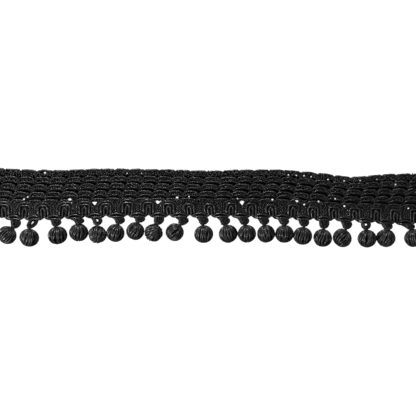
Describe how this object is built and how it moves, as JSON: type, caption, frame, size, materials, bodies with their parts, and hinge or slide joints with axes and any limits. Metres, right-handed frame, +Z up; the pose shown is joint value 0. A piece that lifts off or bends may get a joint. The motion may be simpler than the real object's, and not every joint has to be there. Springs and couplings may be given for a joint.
{
  "type": "pompom fringe trim",
  "caption": "A cut length of black ball fringe, laid flat: a braided heading of laid cords with a scalloped edge, and wound yarn balls hanging from short loops along its lower edge.",
  "frame": {"origin": "The middle of the trim's bounding box in plan, on the surface that it lies on.", "axes": "+X runs along the trim, +Y across it from the balls to the scalloped top edge, and +Z up out of its right side."},
  "size_m": [0.2403, 0.0438, 0.0099],
  "materials": {
    "gimp_cord": "satin",
    "loop_yarn": "matte",
    "wound_yarn": "satin"
  },
  "bodies": {
    "root": {"heading_braid": "gimp_cord", "loop_edge": "loop_yarn", "ball_01": "wound_yarn", "ball_02": "wound_yarn", "ball_03": "wound_yarn", "ball_04": "wound_yarn", "ball_05": "wound_yarn", "ball_06": "wound_yarn", "ball_07": "wound_yarn", "ball_08": "wound_yarn", "ball_09": "wound_yarn", "ball_10": "wound_yarn", "ball_11": "wound_yarn", "ball_12": "wound_yarn", "ball_13": "wound_yarn", "ball_14": "wound_yarn", "ball_15": "wound_yarn", "ball_16": "wound_yarn", "ball_17": "wound_yarn", "ball_18": "wound_yarn", "ball_19": "wound_yarn", "ball_20": "wound_yarn"}
  },
  "joints": []
}
